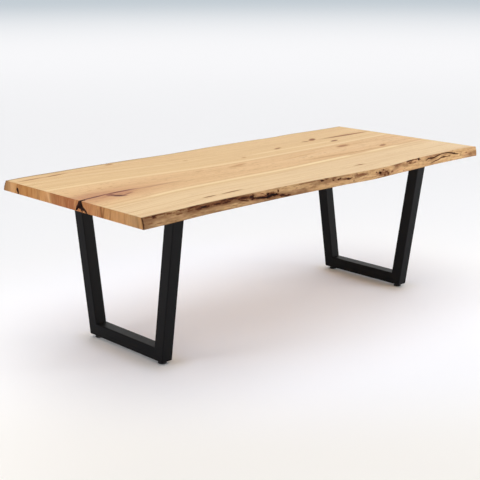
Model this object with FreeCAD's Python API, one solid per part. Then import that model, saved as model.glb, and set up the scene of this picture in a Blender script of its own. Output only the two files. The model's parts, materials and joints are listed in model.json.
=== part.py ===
import FreeCAD, Part
import math
import os

# Live edge dining table: one natural-edged slab on two black trapezoid frames of square tube.
# Millimetres. The origin is on the floor under the middle of the slab, +X runs along the slab,
# +Y points to the rear edge and +Z points up.

V = FreeCAD.Vector

# Overall sizes
TABLE_HEIGHT = 762.0
END_OVERHANG = 275.0
SIDE_OVERHANG = 139.0
FRAME_SHIFT = 4.0

# Slab
TOP_LENGTH = 2265.0
TOP_WIDTH = 1024.0
TOP_THICKNESS = 48.0
LIVE_EDGE_DEPTH = 50.0

# Each row follows a live edge from the left end: the place along the slab, then how far in
# the upper and the lower arris lie from the widest line, as shares of LIVE_EDGE_DEPTH.
FRONT_EDGE_SHARES = (
    (0.00, 0.24, 0.00),
    (0.06, 0.40, 0.14),
    (0.12, 0.49, 0.34),
    (0.20, 0.60, 0.46),
    (0.28, 0.62, 0.48),
    (0.35, 0.66, 0.52),
    (0.42, 0.56, 0.42),
    (0.48, 0.44, 0.36),
    (0.55, 0.27, 0.24),
    (0.62, 0.09, 0.04),
    (0.69, 0.21, 0.19),
    (0.75, 0.64, 0.32),
    (0.81, 0.88, 0.48),
    (0.87, 0.88, 0.58),
    (0.93, 0.98, 0.54),
    (1.00, 0.58, 0.44),
)
REAR_EDGE_SHARES = (
    (0.00, 0.40, 0.00),
    (0.06, 0.16, 0.02),
    (0.13, 0.15, 0.04),
    (0.20, 0.13, 0.04),
    (0.28, 0.15, 0.06),
    (0.35, 0.33, 0.16),
    (0.41, 0.46, 0.24),
    (0.48, 0.41, 0.22),
    (0.54, 0.28, 0.16),
    (0.61, 0.33, 0.20),
    (0.69, 0.41, 0.28),
    (0.74, 0.57, 0.36),
    (0.81, 0.39, 0.28),
    (0.88, 0.51, 0.34),
    (0.94, 0.61, 0.40),
    (1.00, 0.59, 0.42),
)

# How the live edge leaves the upper arris (0) for the lower one (1) over the slab's thickness.
EDGE_LEVEL_SHARES = ((0.0, 1.0), (0.35, 0.85), (0.8, 0.3), (1.0, 0.0))

# Frames of square tube
FRAME_TAPER = 105.5
TUBE_SIZE = 60.0
TUBE_WALL = 3.0
TUBE_CORNER = 5.0
TUBE_INNER_CORNER = 2.0

# Angle cleats under the slab, three on each side of a top bar
CLEAT_LEG = 40.0
CLEAT_LENGTH = 50.0
CLEAT_THICKNESS = 5.0
CLEAT_ROOT = 4.0
CLEAT_INSET = 103.0
SLOT_WIDTH = 9.0
SLOT_LENGTH = 20.0

# Bolts, washers and threaded inserts that hold the slab
BOLT_DIAMETER = 8.0
BOLT_LENGTH = 25.0
BOLT_HEAD = 13.0
BOLT_HEAD_HEIGHT = 5.3
WASHER_DIAMETER = 24.0
WASHER_HOLE = 8.4
WASHER_THICKNESS = 2.0
WASHER_CLEARANCE = 4.0
INSERT_DIAMETER = 12.0
INSERT_LENGTH = 20.0
INSERT_HOLE_SPARE = 3.0

# Levelling feet
FOOT_INSET = 33.0
PAD_DIAMETER = 40.0
PAD_HEIGHT = 8.2
PAD_RIM_HEIGHT = 4.8
PAD_EDGE = 2.5
PAD_BOSS = 20.0
PAD_FLOOR = 2.5
STUD_DIAMETER = 10.0
STUD_LENGTH = 34.0
STUD_HEX = 15.0
STUD_HEX_HEIGHT = 4.7
JOURNAL_DIAMETER = 8.0
BEAD_DIAMETER = 11.0
BEAD_HEIGHT = 2.0
NUT_DIAMETER = 13.0
NUT_LENGTH = 16.0
NUT_FLANGE = 19.0
NUT_FLANGE_THICKNESS = 1.5
NUT_BULGE = 17.0
NUT_BULGE_HEIGHT = 3.0

# Clearances
FIT_GAP = 0.05
SEAT_GAP = 0.3
OVERRUN = 10.0

HEX_SIDES = 6
ENDS = {"left": -1, "right": 1}
SIDES = {"front": -1, "rear": 1}

# Places that follow from the sizes above
underside = TABLE_HEIGHT - TOP_THICKNESS
hex_base = PAD_HEIGHT + SEAT_GAP
nut_base = hex_base + STUD_HEX_HEIGHT + SEAT_GAP
bar_base = nut_base + NUT_FLANGE_THICKNESS
frame_top_width = TOP_WIDTH - 2 * SIDE_OVERHANG
frame_bottom_width = frame_top_width - 2 * FRAME_TAPER
frame_x = TOP_LENGTH / 2 - END_OVERHANG - TUBE_SIZE / 2
foot_y = frame_bottom_width / 2 - FOOT_INSET
cleat_y = frame_top_width / 2 - CLEAT_INSET
bolt_x = TUBE_SIZE / 2 + CLEAT_THICKNESS + CLEAT_ROOT + WASHER_CLEARANCE + WASHER_DIAMETER / 2
lean = math.atan2(FRAME_TAPER, underside - bar_base)


def save(name, shape):
    shape.exportStep("parts/" + name + ".step")
    print(name, len(shape.Solids), "solids", round(shape.Volume), "mm3", shape.isValid())


def cylinder(diameter, height, base, gap=0):
    return Part.makeCylinder(diameter / 2 + gap, height, base)


def hexagon(across_flats, height, base):
    """An upright hexagonal bar, measured across its flats."""
    reach = across_flats / 2 / math.cos(math.pi / HEX_SIDES)
    corners = []
    for corner in range(HEX_SIDES + 1):
        turn = math.tau * corner / HEX_SIDES
        corners.append(base + V(reach * math.cos(turn), reach * math.sin(turn), 0))
    return Part.Face(Part.makePolygon(corners)).extrude(V(0, 0, height))


# Slab
def live_edge(shares, side, fall, z):
    """One natural edge at one level, drawn from the left end to the right end."""
    points = []
    for along, upper_in, lower_in in shares:
        inset = LIVE_EDGE_DEPTH * (upper_in + (lower_in - upper_in) * fall)
        points.append(V(TOP_LENGTH * along - TOP_LENGTH / 2, side * (TOP_WIDTH / 2 - inset), z))
    curve = Part.BSplineCurve()
    curve.interpolate(points)
    return curve


def slab_outline(height_share, fall):
    z = underside + TOP_THICKNESS * height_share
    front = live_edge(FRONT_EDGE_SHARES, SIDES["front"], fall, z)
    rear = live_edge(REAR_EDGE_SHARES, SIDES["rear"], fall, z)
    right_end = Part.makeLine(front.EndPoint, rear.EndPoint)
    left_end = Part.makeLine(rear.StartPoint, front.StartPoint)
    rear.reverse()
    return Part.Wire([front.toShape(), right_end, rear.toShape(), left_end])


def bolt_places(end):
    """The six points on the slab's underside where one frame is bolted up."""
    places = []
    for row in (-1, 0, 1):
        for face in (-1, 1):
            places.append(V(end * frame_x + face * bolt_x, FRAME_SHIFT + row * cleat_y, underside))
    return places


def slab():
    outlines = [slab_outline(height, fall) for height, fall in EDGE_LEVEL_SHARES]
    board = Part.makeLoft(outlines, True, False)
    holes = []
    for end in ENDS.values():
        for place in bolt_places(end):
            depth = INSERT_LENGTH + INSERT_HOLE_SPARE + OVERRUN
            holes.append(cylinder(INSERT_DIAMETER, depth, place - V(0, 0, OVERRUN), FIT_GAP))
    return board.cut(Part.makeCompound(holes))


# Frame tubes
def frame_corner(side, z, inward):
    """A point on one upright at height z, measured inward across the tube from its outer face."""
    outer = frame_bottom_width / 2 + (z - bar_base) * math.tan(lean)
    return V(0, FRAME_SHIFT + side * (outer - inward / math.cos(lean)), z)


def frame_outline(depth):
    """The frame's four corners, drawn in by depth from its outer faces."""
    low = bar_base + depth
    high = underside - depth
    return {
        ("front", "low"): frame_corner(SIDES["front"], low, depth),
        ("rear", "low"): frame_corner(SIDES["rear"], low, depth),
        ("front", "high"): frame_corner(SIDES["front"], high, depth),
        ("rear", "high"): frame_corner(SIDES["rear"], high, depth),
    }


def mitred_bar(start, stop, outer_depth, width, corner, overrun=0):
    """A bar between two corners of the frame, cut on the mitre lines and rounded along its length."""
    outer = frame_outline(outer_depth)
    inner = frame_outline(TUBE_SIZE - outer_depth)
    along = (outer[stop] - outer[start]).normalize()
    one_degree = math.radians(1)
    reach = along * overrun
    corners = [outer[start] - reach, outer[stop] + reach, inner[stop] + reach, inner[start] - reach]
    corners = [point - V(width / 2, 0, 0) for point in corners]
    bar = Part.Face(Part.makePolygon(corners + corners[:1])).extrude(V(width, 0, 0))
    long_edges = []
    for edge in bar.Edges:
        if edge.tangentAt(edge.FirstParameter).isParallel(along, one_degree):
            long_edges.append(edge)
    return bar.makeFillet(corner, long_edges)


def frame_tube(start, stop, x):
    outside = mitred_bar(start, stop, 0, TUBE_SIZE, TUBE_CORNER)
    inside = mitred_bar(start, stop, TUBE_WALL, TUBE_SIZE - 2 * TUBE_WALL, TUBE_INNER_CORNER, OVERRUN)
    tube = outside.cut(inside)
    tube.translate(V(x, 0, 0))
    return tube


def foot_place(end, side):
    return V(end * frame_x, FRAME_SHIFT + side * foot_y, 0)


def bottom_bar(end):
    tube = frame_tube(("front", "low"), ("rear", "low"), end * frame_x)
    holes = []
    for side in SIDES.values():
        base = foot_place(end, side) + V(0, 0, nut_base)
        height = NUT_FLANGE_THICKNESS + TUBE_WALL + TUBE_SIZE / 2
        holes.append(cylinder(NUT_DIAMETER, height, base, FIT_GAP))
    return tube.cut(Part.makeCompound(holes))


# Fixings under the slab
def cleat(place, face):
    """One angle cleat: a leg flat against the top bar's side and a slotted leg under the slab."""
    heel_x = place.x - face * (bolt_x - TUBE_SIZE / 2)
    profile = (
        (0, 0),
        (CLEAT_LEG, 0),
        (CLEAT_LEG, CLEAT_THICKNESS),
        (CLEAT_THICKNESS, CLEAT_THICKNESS),
        (CLEAT_THICKNESS, CLEAT_LEG),
        (0, CLEAT_LEG),
    )
    start_y = place.y - CLEAT_LENGTH / 2
    points = [V(heel_x + face * out, start_y, underside - down) for out, down in profile]
    angle = Part.Face(Part.makePolygon(points + points[:1])).extrude(V(0, CLEAT_LENGTH, 0))
    root = V(heel_x + face * CLEAT_THICKNESS, place.y, underside - CLEAT_THICKNESS)
    roots = [edge for edge in angle.Edges if edge.CenterOfMass.isEqual(root, FIT_GAP)]
    angle = angle.makeFillet(CLEAT_ROOT, roots)
    depth = CLEAT_THICKNESS + 2 * OVERRUN
    low = V(place.x, place.y, underside - CLEAT_THICKNESS - OVERRUN)
    half_run = V(0, (SLOT_LENGTH - SLOT_WIDTH) / 2, 0)
    slot = Part.makeBox(SLOT_WIDTH, 2 * half_run.y, depth, low - half_run - V(SLOT_WIDTH / 2, 0, 0))
    for end in (low - half_run, low + half_run):
        slot = slot.fuse(cylinder(SLOT_WIDTH, depth, end))
    return angle.cut(slot)


def cleats(end):
    group = []
    for place in bolt_places(end):
        face = math.copysign(1, place.x - end * frame_x)
        group.append(cleat(place, face))
    return Part.makeCompound(group)


def washers(end):
    group = []
    for place in bolt_places(end):
        base = place - V(0, 0, CLEAT_THICKNESS + WASHER_THICKNESS)
        disc = cylinder(WASHER_DIAMETER, WASHER_THICKNESS, base)
        group.append(disc.cut(cylinder(WASHER_HOLE, WASHER_THICKNESS, base)))
    return Part.makeCompound(group)


def bolts(end):
    group = []
    for place in bolt_places(end):
        seat = place - V(0, 0, CLEAT_THICKNESS + WASHER_THICKNESS)
        head = hexagon(BOLT_HEAD, BOLT_HEAD_HEIGHT, seat - V(0, 0, BOLT_HEAD_HEIGHT))
        group.append(head.fuse(cylinder(BOLT_DIAMETER, BOLT_LENGTH, seat)))
    return Part.makeCompound(group)


def inserts(end):
    group = []
    for place in bolt_places(end):
        sleeve = cylinder(INSERT_DIAMETER, INSERT_LENGTH, place)
        group.append(sleeve.cut(cylinder(BOLT_DIAMETER, INSERT_LENGTH, place, FIT_GAP)))
    return Part.makeCompound(group)


# Levelling feet
def foot_nut(place):
    """A rivet nut: a flange under the bar, a sleeve through its wall and a bulge set above the wall."""
    base = place + V(0, 0, nut_base)
    wall_top = place + V(0, 0, bar_base + TUBE_WALL)
    nut = cylinder(NUT_FLANGE, NUT_FLANGE_THICKNESS, base)
    nut = nut.fuse(cylinder(NUT_DIAMETER, NUT_LENGTH, base))
    nut = nut.fuse(cylinder(NUT_BULGE, NUT_BULGE_HEIGHT, wall_top))
    thread = cylinder(STUD_DIAMETER, NUT_LENGTH + TUBE_SIZE, base, FIT_GAP)
    return nut.cut(thread).removeSplitter()


def foot_stud(place):
    """A threaded stud with a spanner hexagon and a beaded journal that snaps into the pad."""
    hexagon_top = place + V(0, 0, hex_base + STUD_HEX_HEIGHT)
    bead = place + V(0, 0, PAD_FLOOR)
    stud = hexagon(STUD_HEX, STUD_HEX_HEIGHT, place + V(0, 0, hex_base))
    stud = stud.fuse(cylinder(STUD_DIAMETER, STUD_LENGTH, hexagon_top))
    stud = stud.fuse(cylinder(JOURNAL_DIAMETER, hex_base - PAD_FLOOR, bead))
    return stud.fuse(cylinder(BEAD_DIAMETER, BEAD_HEIGHT, bead)).removeSplitter()


def foot_pad(place):
    """A round foot pad with a rounded lower edge, a sloping top and a socket for the stud."""
    rim = PAD_DIAMETER / 2
    slant = PAD_EDGE * math.sqrt(0.5)
    start = V(rim - PAD_EDGE, 0, 0)
    middle = V(rim - PAD_EDGE + slant, 0, PAD_EDGE - slant)
    stop = V(rim, 0, PAD_EDGE)
    profile = [
        Part.makeLine(V(0, 0, 0), start),
        Part.Arc(start, middle, stop).toShape(),
    ]
    path = [stop, V(rim, 0, PAD_RIM_HEIGHT), V(PAD_BOSS / 2, 0, PAD_HEIGHT), V(0, 0, PAD_HEIGHT), V(0, 0, 0)]
    for begin, end in zip(path, path[1:]):
        profile.append(Part.makeLine(begin, end))
    pad = Part.Face(Part.Wire(profile)).revolve(V(0, 0, 0), V(0, 0, 1), 360)
    floor = V(0, 0, PAD_FLOOR)
    pad = pad.cut(cylinder(BEAD_DIAMETER, BEAD_HEIGHT + FIT_GAP, floor, FIT_GAP))
    pad = pad.cut(cylinder(JOURNAL_DIAMETER, PAD_HEIGHT, floor, FIT_GAP))
    pad.translate(place)
    return pad


# The assembled table
os.makedirs("parts", exist_ok=True)
save("live_edge_slab", slab())
for end_name, end in ENDS.items():
    frame = end_name + "_frame_"
    x = end * frame_x
    save(frame + "front_upright", frame_tube(("front", "low"), ("front", "high"), x))
    save(frame + "rear_upright", frame_tube(("rear", "low"), ("rear", "high"), x))
    save(frame + "top_bar", frame_tube(("front", "high"), ("rear", "high"), x))
    save(frame + "bottom_bar", bottom_bar(end))
    save(frame + "cleats", cleats(end))
    save(frame + "washers", washers(end))
    save(frame + "bolts", bolts(end))
    save(frame + "inserts", inserts(end))
    for side_name, side in SIDES.items():
        foot = end_name + "_" + side_name + "_foot_"
        place = foot_place(end, side)
        save(foot + "nut", foot_nut(place))
        save(foot + "stud", foot_stud(place))
        save(foot + "pad", foot_pad(place))
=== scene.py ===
# %% [markdown]
# # A dining table with two live edges
# One wide plank keeps the wavy outline of its tree along both long sides. It stands on two
# closed trapezoid frames of black square tube with screw feet. The CAD model is packed already,
# with its sizes, bodies and joints, so this lesson only dresses it and never moves a CAD part.

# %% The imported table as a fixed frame
import json
import math
import random

import bmesh
import bpy
import numpy as np
from mathutils import Matrix, Vector, noise
from mathutils.bvhtree import BVHTree


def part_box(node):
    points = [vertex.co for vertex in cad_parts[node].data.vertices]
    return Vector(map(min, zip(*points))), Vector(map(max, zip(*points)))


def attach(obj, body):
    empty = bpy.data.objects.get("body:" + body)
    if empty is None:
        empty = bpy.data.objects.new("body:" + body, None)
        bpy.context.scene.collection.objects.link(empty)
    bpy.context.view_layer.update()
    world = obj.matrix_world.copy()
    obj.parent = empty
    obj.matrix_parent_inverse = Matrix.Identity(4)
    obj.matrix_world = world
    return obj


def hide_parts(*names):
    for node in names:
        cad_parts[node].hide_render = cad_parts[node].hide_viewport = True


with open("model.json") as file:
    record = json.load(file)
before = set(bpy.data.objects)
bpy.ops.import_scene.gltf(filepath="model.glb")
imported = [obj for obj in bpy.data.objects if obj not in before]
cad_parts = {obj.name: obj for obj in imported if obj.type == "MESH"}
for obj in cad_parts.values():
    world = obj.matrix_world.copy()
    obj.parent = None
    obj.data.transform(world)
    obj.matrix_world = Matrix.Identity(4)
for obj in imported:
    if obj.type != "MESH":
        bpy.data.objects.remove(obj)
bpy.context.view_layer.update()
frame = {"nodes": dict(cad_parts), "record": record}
scene = bpy.context.scene
scene.view_settings.view_transform = "Standard"

# %% [markdown]
# ## The camera
# The picture looks down on the front left corner through a long lens. A camera could be turned
# with a track-to constraint, but its three axes are written out here: the way ahead comes from
# two angles, and the cross product gives the axis that points up in the picture.

# %% Camera
PICTURE_WIDTH = 480
FOCAL_PIXELS = 1072.78
SENSOR_WIDTH = 36
CAMERA_PLACE = Vector((-3.63687, -3.71646, 1.75511))
# Turn about the vertical, tilt down and lean, in degrees.
CAMERA_ANGLES = (-43.3049, 14.9515, -0.1899)

yaw, pitch, roll = (math.radians(angle) for angle in CAMERA_ANGLES)
level = math.cos(pitch)
ahead = Vector((-math.sin(yaw) * level, math.cos(yaw) * level, -math.sin(pitch)))
right = Vector((math.cos(yaw), math.sin(yaw), 0))
axes = Matrix((right, right.cross(ahead), -ahead)).transposed().to_4x4()
camera = bpy.data.objects.new("camera", bpy.data.cameras.new("camera"))
camera.data.sensor_width = SENSOR_WIDTH
camera.data.lens = SENSOR_WIDTH * FOCAL_PIXELS / PICTURE_WIDTH
camera.matrix_world = Matrix.Translation(CAMERA_PLACE) @ axes @ Matrix.Rotation(roll, 4, "Z")
scene.collection.objects.link(camera)
scene.camera = camera
print("lens", round(camera.data.lens, 1), "mm")

# %% [markdown]
# ## Shader maths as Python
# A wood needs dozens of Math nodes, which are hard to read as a list of links. One small class
# wraps an output socket, so that `1 - mask` or `dark * knot` adds the node and its links.
# Colours go through Mix nodes instead, because a Math node would turn them grey.


# %% The socket wrapper
class Wire:
    """One output of a node. Arithmetic on wires adds Math nodes to the same material."""

    def __init__(self, tree, socket=None):
        self.tree = tree
        self.socket = socket

    def node(self, kind, settings=None, inputs=None, output=0):
        """Adds a node: its settings first, then its sockets, and returns one of its outputs."""
        made = self.tree.nodes.new(kind)
        for name, value in (settings or {}).items():
            if name == "curve":
                set_curve(made.mapping, value)
            else:
                setattr(made, name, value)
        for name, value in (inputs or {}).items():
            plug(value, made.inputs[name])
        return Wire(self.tree, made.outputs[output])

    def other(self, output):
        """Another output of the same node."""
        return Wire(self.tree, self.socket.node.outputs[output])

    def maths(self, operation, *values):
        """A Math node whose first value is this wire."""
        inputs = dict(enumerate((self, *values)))
        return self.node("ShaderNodeMath", {"operation": operation}, inputs)

    def vector_maths(self, operation, *values, output=0):
        """A Vector Math node whose first value is this wire."""
        inputs = dict(enumerate((self, *values)))
        return self.node("ShaderNodeVectorMath", {"operation": operation}, inputs, output)

    def __add__(self, value):
        return self.maths("ADD", value)

    def __sub__(self, value):
        return self.maths("SUBTRACT", value)

    def __rsub__(self, value):
        return self.node("ShaderNodeMath", {"operation": "SUBTRACT"}, {0: value, 1: self})

    def __mul__(self, value):
        return self.maths("MULTIPLY", value)

    def __truediv__(self, value):
        return self.maths("DIVIDE", value)

    def __pow__(self, value):
        return self.maths("POWER", value)

    __radd__ = __add__
    __rmul__ = __mul__


def plug(value, socket):
    """Links a wire to a socket, or sets a plain value on it."""
    if isinstance(value, Wire):
        value.tree.links.new(value.socket, socket)
    else:
        socket.default_value = value


def set_curve(mapping, points):
    """Gives a curve node its points."""
    curve = mapping.curves[0]
    while len(curve.points) < len(points):
        curve.points.new(1, 1)
    for spot, (along, height) in zip(curve.points, points):
        spot.location = (along, height)
    mapping.update()


# %% Colours and soft steps
def tone(red, green, blue):
    """A colour as it looks on a screen, 0 to 255, made linear for the shader."""
    shares = [value / 255 for value in (red, green, blue)]
    linear = [s / 12.92 if s <= 0.04045 else ((s + 0.055) / 1.055) ** 2.4 for s in shares]
    return (*linear, 1)


def split_axes(place):
    """The x, y and z of a place."""
    parts = place.node("ShaderNodeSeparateXYZ", None, {0: place})
    return parts, parts.other("Y"), parts.other("Z")


def distance(first, second):
    """The long side of a right angle, from its two short sides."""
    return (first * first + second * second) ** 0.5


def fade(value, start, stop):
    """A soft step: 0 up to start, 1 from stop on."""
    settings = {"interpolation_type": "SMOOTHSTEP"}
    inputs = {"Value": value, "From Min": start, "From Max": stop}
    return value.node("ShaderNodeMapRange", settings, inputs)


def mix(share, first, second):
    """The first colour where share is 0, the second where it is 1."""
    inputs = {0: share, 6: first, 7: second}
    return share.node("ShaderNodeMix", {"data_type": "RGBA"}, inputs, 2)


# %% [markdown]
# ## Floor and light
# The table stands in a white studio. Lamps strong enough to burn a floor white would bleach the
# wood too, so the light stays plain and the floor is pale by its own colour: rays from the
# camera and from glossy coats see part of it as a faint glow, and the rest still takes the shadow.
# Close to the bottom bars the glow ends, which paints a contact shadow on the floor. Around the
# table it is a little blue, against the yellow light that the wood throws down.

# %% Floor
FLOOR_HALF = 60


def as_mesh(shape, name):
    """Turns a bmesh into a mesh and frees it."""
    mesh = bpy.data.meshes.new(name)
    shape.to_mesh(mesh)
    shape.free()
    return mesh


floor_shape = bmesh.new()
bmesh.ops.create_grid(floor_shape, x_segments=2, y_segments=2, size=FLOOR_HALF)
floor = bpy.data.objects.new("floor", as_mesh(floor_shape, "floor"))
scene.collection.objects.link(floor)
print("floor", 2 * FLOOR_HALF, "m across")

# %% Paint of the floor
FRAMES = ("left_frame_", "right_frame_")
FLOOR_TONE, FRONT_TONE, HORIZON_TONE = tone(250, 250, 252), tone(247, 244, 240), tone(199, 208, 215)
# Linear, and a little bluer than white.
NEAR_GLOW_TONE = (0.94, 1.00, 1.24, 1)
FLOOR_GLOW, FAR_GLOW = 0.18, 0.62
AWAY_FROM_CAMERA = (0.71, 0.71, 0)
# Where each change of the floor starts and is complete, in metres.
FRONT_DEPTH, FRONT_RADIUS = (-0.8, -1.8), (5.0, 2.5)
HORIZON_RADIUS, NEAR_RADIUS = (14.5, 38), (1.7, 0.8)
FAR_DEPTH, CONTACT_SHADOW_REACH = (4, 14), (0.005, 0.120)
# Beside the table, the radius less this counts as depth.
FAR_RADIUS_LESS = 4


def outside(place, low, high):
    """How far a place on one axis lies outside a stretch of it."""
    aside = (place - (low + high) / 2).maths("ABSOLUTE")
    return (aside - (high - low) / 2).maths("MAXIMUM", 0.0)


floor_paint = bpy.data.materials.new("studio_floor")
floor_paint.use_nodes = True
floor.data.materials.append(floor_paint)
floor_tree = floor_paint.node_tree
floor_tree.nodes.remove(floor_tree.nodes["Principled BSDF"])
wire = Wire(floor_tree)
rays = wire.node("ShaderNodeLightPath", output="Is Camera Ray")
seen = rays.maths("MAXIMUM", rays.other("Is Glossy Ray"))
seen = seen.maths("MAXIMUM", rays.other("Is Transmission Ray"))
floor_place = wire.node("ShaderNodeTexCoord", output="Object")
depth = floor_place.vector_maths("DOT_PRODUCT", AWAY_FROM_CAMERA, output="Value")
radius = floor_place.vector_maths("LENGTH", output="Value")

in_front = fade(depth, *FRONT_DEPTH) * fade(radius, *FRONT_RADIUS)
floor_colour = mix(in_front, FLOOR_TONE, FRONT_TONE)
floor_colour = mix(fade(radius, *HORIZON_RADIUS), floor_colour, HORIZON_TONE)
glow_colour = mix(fade(radius, *NEAR_RADIUS), floor_colour, NEAR_GLOW_TONE)
far = depth.maths("MAXIMUM", radius - FAR_RADIUS_LESS)
glow_share = FLOOR_GLOW + FAR_GLOW * fade(far, *FAR_DEPTH)
floor_x, floor_y, _ = split_axes(floor_place)
# Painted contact shadow: close to each bottom bar the glow fades out, so the floor there is dark.
for end in FRAMES:
    low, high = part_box(end + "bottom_bar")
    gap = distance(outside(floor_x, low.x, high.x), outside(floor_y, low.y, high.y))
    glow_share = glow_share * fade(gap, *CONTACT_SHADOW_REACH)
matt = wire.node("ShaderNodeBsdfDiffuse", None, {"Color": floor_colour})
glow = wire.node("ShaderNodeEmission", None, {"Color": glow_colour, "Strength": 1.0})
both = wire.node("ShaderNodeMixShader", None, {0: seen * glow_share, 1: matt, 2: glow})
plug(both, floor_tree.nodes["Material Output"].inputs["Surface"])
print("floor paint", len(floor_tree.nodes), "nodes")

# %% [markdown]
# Softboxes stand around the table. Suns with a wide spread take the place of the large ones,
# because a sun lights the whole of a long plank alike. Two smaller area lamps brighten the
# front edge and the left end. The world is bright for the camera and dim for all else.

# %% Lamps and world
AMBIENT = 0.15
BACKDROP_RISE = 0.10
# Each sun: where it shines from, strength, spread in degrees.
SUNS = {
    "roof_softbox": ((0.00, 0.00, 1.00), 1.76, 70),
    "right_softbox": ((0.94, 0.17, 0.30), 1.15, 45),
    "rear_right_softbox": ((0.65, 0.69, 0.31), 0.75, 45),
}
# Each box: place, aim, power, size.
BOXES = {
    "front_right_softbox": (Vector((3.1, -3.3, 0.6)), Vector((0.3, -0.3, 0.45)), 84, 1.1),
    "left_softbox": (Vector((-3.3, 0.5, 1.0)), Vector((-0.8, 0.0, 0.4)), 22, 0.9),
}


def place_lamp(name, kind, strength, towards):
    """A lamp that shines from the given direction."""
    lamp = bpy.data.objects.new(name, bpy.data.lights.new(name, kind))
    lamp.data.energy = strength
    lamp.rotation_mode = "QUATERNION"
    lamp.rotation_quaternion = Vector(towards).to_track_quat("Z", "Y")
    scene.collection.objects.link(lamp)
    return lamp


for lamp_name, (towards, strength, spread) in SUNS.items():
    place_lamp(lamp_name, "SUN", strength, towards).data.angle = math.radians(spread)
for lamp_name, (place, aim, power, size) in BOXES.items():
    box = place_lamp(lamp_name, "AREA", power, place - aim)
    box.location = place
    box.data.size = size

world = bpy.data.worlds.new("studio")
world.use_nodes = True
scene.world = world
background = world.node_tree.nodes["Background"]
wire = Wire(world.node_tree)
rays = wire.node("ShaderNodeLightPath", output="Is Camera Ray")
plug(rays + (1 - rays) * AMBIENT, background.inputs["Strength"])
_, _, rise = split_axes(wire.node("ShaderNodeTexCoord", output="Object"))
backdrop = mix(rays * fade(rise, BACKDROP_RISE, 0.0), tone(255, 255, 255), HORIZON_TONE)
plug(backdrop, background.inputs["Color"])
print("lamps", [*SUNS, *BOXES])

# %% [markdown]
# ## Reading the CAD plank
# The plank's outline is already in the CAD node: both live edges wander, and each leans from its
# upper to its lower arris. A modelled plank must keep that outline. Rays shot across the CAD mesh
# at many stations and levels read it, so that the new mesh starts from the measured shape.

# %% Stations and levels of the plank
PLANK = "live_edge_slab"
STATION_STEP = 0.0026
LEVELS = 26
END_SPARE = 0.0004
SHOT_FROM = 2.0
MERGE_REACH = 1e-5

plank_low, plank_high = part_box(PLANK)
plank_length = plank_high.x - plank_low.x
plank_middle = (plank_low.z + plank_high.z) / 2
station_count = round(plank_length / STATION_STEP)
stations = np.linspace(plank_low.x, plank_high.x, station_count + 1)
levels = np.linspace(plank_low.z, plank_high.z, LEVELS + 1)


def merged_copy(name):
    """A copy of a CAD node's mesh, its loose triangles joined."""
    copy = bmesh.new()
    copy.from_mesh(frame["nodes"][name].data)
    bmesh.ops.remove_doubles(copy, verts=copy.verts, dist=MERGE_REACH)
    return copy


cad_copy = merged_copy(PLANK)
cad_shell = BVHTree.FromBMesh(cad_copy)
cad_copy.free()


def cad_edge(side):
    """The y of one live edge at every station (row) and level (column); side is -1 in front."""
    across = Vector((0, -side, 0))
    inside_x = np.clip(stations, plank_low.x + END_SPARE, plank_high.x - END_SPARE)
    inside_z = np.clip(levels, plank_low.z + END_SPARE, plank_high.z - END_SPARE)

    def hit(x, z):
        return cad_shell.ray_cast(Vector((x, side * SHOT_FROM, z)), across)[0].y

    return np.array([[hit(x, z) for z in inside_z] for x in inside_x])


front_edge = cad_edge(-1)
rear_edge = cad_edge(1)
print("plank", station_count + 1, "stations,", LEVELS + 1, "levels, front from", front_edge.min().round(4))

# %% [markdown]
# ## The relief of the live edges
# Under the bark the wood is smooth in some places and torn in others: dark hollows, pockets of
# bark, a knot with a hole, and cracks that wind along the edge. A texture alone would leave the
# outline dull, so each hollow and crack is written as a small fact (place, size, depth, darkness)
# and moves the edge inwards. The same facts later tell the wood's colour where it is dark. That
# darkness is partly dark bark and partly painted shade deep in the hollows, cracks and knot hole.

# %% Hollows and cracks of the front edge, in millimetres
MM = 0.001
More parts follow.
